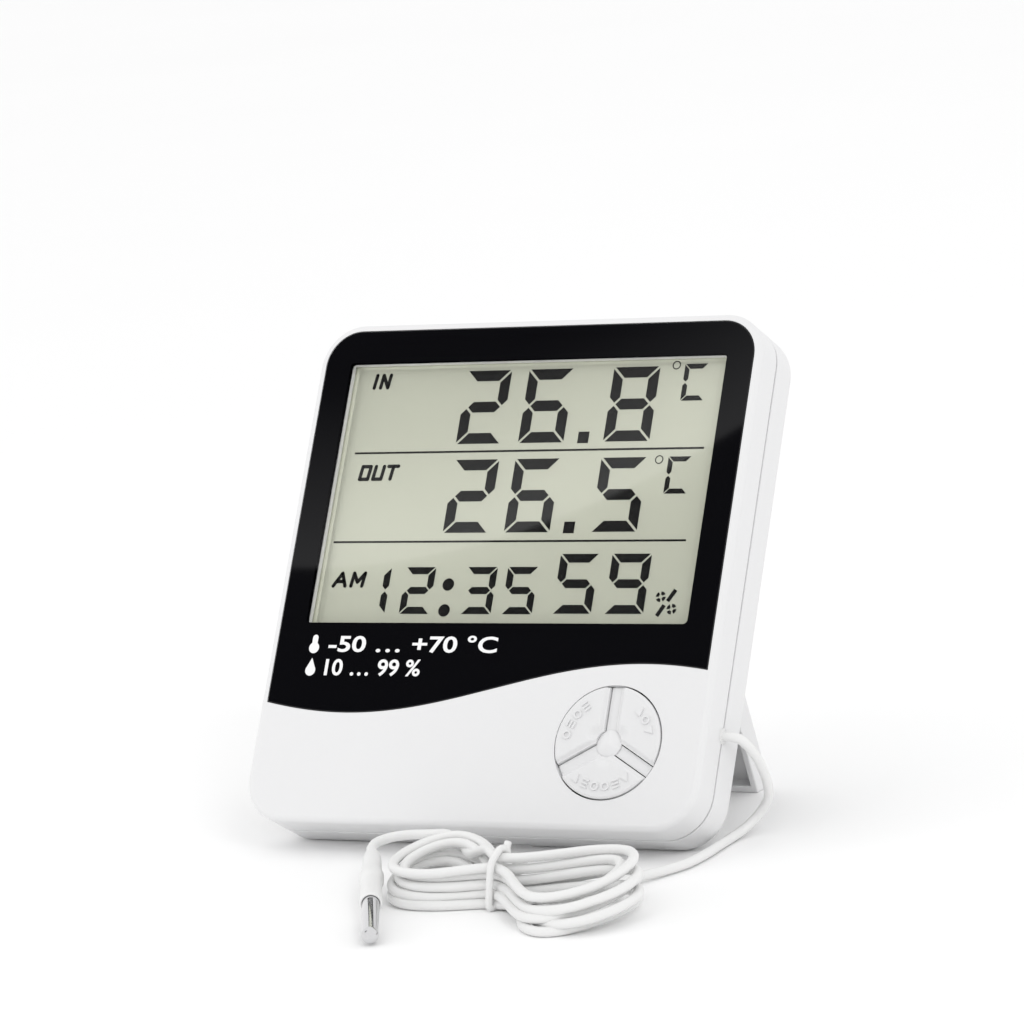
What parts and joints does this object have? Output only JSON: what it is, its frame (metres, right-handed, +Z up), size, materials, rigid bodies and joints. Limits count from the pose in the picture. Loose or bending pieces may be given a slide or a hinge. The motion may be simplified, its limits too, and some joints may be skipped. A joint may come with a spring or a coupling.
{
  "type": "digital thermometer and hygrometer",
  "caption": "Square desktop digital thermometer, hygrometer and clock with maximum and minimum memory, leaning on a fold-out stand, with a remote temperature probe on a thin lead",
  "frame": {"origin": "on the floor, under the middle of the leaning case and its opened stand (bottom centre of their box; the free lead is left out of it)", "axes": "+X to the right as seen from the front, the display faces -Y, +Z up"},
  "size_m": [0.1058, 0.1244, 0.0967],
  "materials": {
    "white_shell": "satin moulded ABS with a fine even texture",
    "white_keys": "satin moulded ABS with raised marks",
    "dark_lens": "clear acrylic lens, printed black behind round a clear window",
    "lcd_glass": "grey-green liquid crystal glass with black segments",
    "grey_plastic": "moulded",
    "contact_rubber": "striped contact strip",
    "circuit_board": "green solder mask",
    "black_component": "moulded",
    "white_component": "moulded",
    "sensor_bead": "dipped resin",
    "plated_steel": "nickel plated",
    "spring_brass": "bright",
    "battery_can": "printed wrap over a thin can",
    "cord_white": "soft white vinyl, slightly glossy",
    "polished_steel": "polished tube with a rounded end"
  },
  "bodies": {
    "case": {"front_shell": "white_shell", "rear_cover": "white_shell", "display_lens": "dark_lens", "lcd_panel": "lcd_glass", "lcd_holder": "grey_plastic", "contact_strip": "contact_rubber", "main_board": "circuit_board", "controller_chip": "black_component", "clock_crystal": "plated_steel", "buzzer": "black_component", "humidity_sensor": "white_component", "room_thermistor": "sensor_bead", "probe_socket": "white_component", "mode_switch": "black_component", "adjust_switch": "black_component", "memory_switch": "black_component", "reset_switch": "black_component", "unit_switch": "black_component", "battery": "battery_can", "battery_spring": "spring_brass", "negative_contact": "plated_steel", "positive_contact": "plated_steel", "case_screw_1": "plated_steel", "case_screw_2": "plated_steel", "case_screw_3": "plated_steel", "case_screw_4": "plated_steel", "board_screw_1": "plated_steel", "board_screw_2": "plated_steel", "cable_grommet": "grey_plastic", "probe_cable": "cord_white", "probe_cable_end": "cord_white", "cable_hank": "cord_white", "hank_tie": "cord_white", "probe_sleeve": "cord_white", "probe_tip": "polished_steel", "probe_thermistor": "sensor_bead"},
    "stand": {"stand": "white_shell"},
    "mode_key": {"mode_button": "white_keys"},
    "adjust_key": {"adjust_button": "white_keys"},
    "memory_key": {"memory_button": "white_keys"},
    "reset_key": {"reset_button": "white_keys"},
    "unit_key": {"unit_button": "white_keys"},
    "door": {"battery_door": "white_shell"}
  },
  "joints": [
    {"name": "stand_hinge", "type": "hinge", "parent": "case", "child": "stand", "pos_m": [0, 0.00779, 0.04876], "axis": [1, 0, 0], "range_deg": [-50, 0]},
    {"name": "mode_press", "type": "slide", "parent": "case", "child": "mode_key", "axis": [0, 0.8572, -0.515], "range_m": [0, 0.0006], "stiffness_N_per_m": 1500},
    {"name": "adjust_press", "type": "slide", "parent": "case", "child": "adjust_key", "axis": [0, 0.8572, -0.515], "range_m": [0, 0.0006], "stiffness_N_per_m": 1500},
    {"name": "memory_press", "type": "slide", "parent": "case", "child": "memory_key", "axis": [0, 0.8572, -0.515], "range_m": [0, 0.0006], "stiffness_N_per_m": 1500},
    {"name": "reset_press", "type": "slide", "parent": "case", "child": "reset_key", "axis": [0, -0.8572, 0.515], "range_m": [0, 0.0005], "stiffness_N_per_m": 1500},
    {"name": "unit_press", "type": "slide", "parent": "case", "child": "unit_key", "axis": [0, -0.8572, 0.515], "range_m": [0, 0.0005], "stiffness_N_per_m": 1500},
    {"name": "battery_door_lift", "type": "slide", "parent": "case", "child": "door", "axis": [0, 0.8572, -0.515], "range_m": [0, 0.015]}
  ]
}
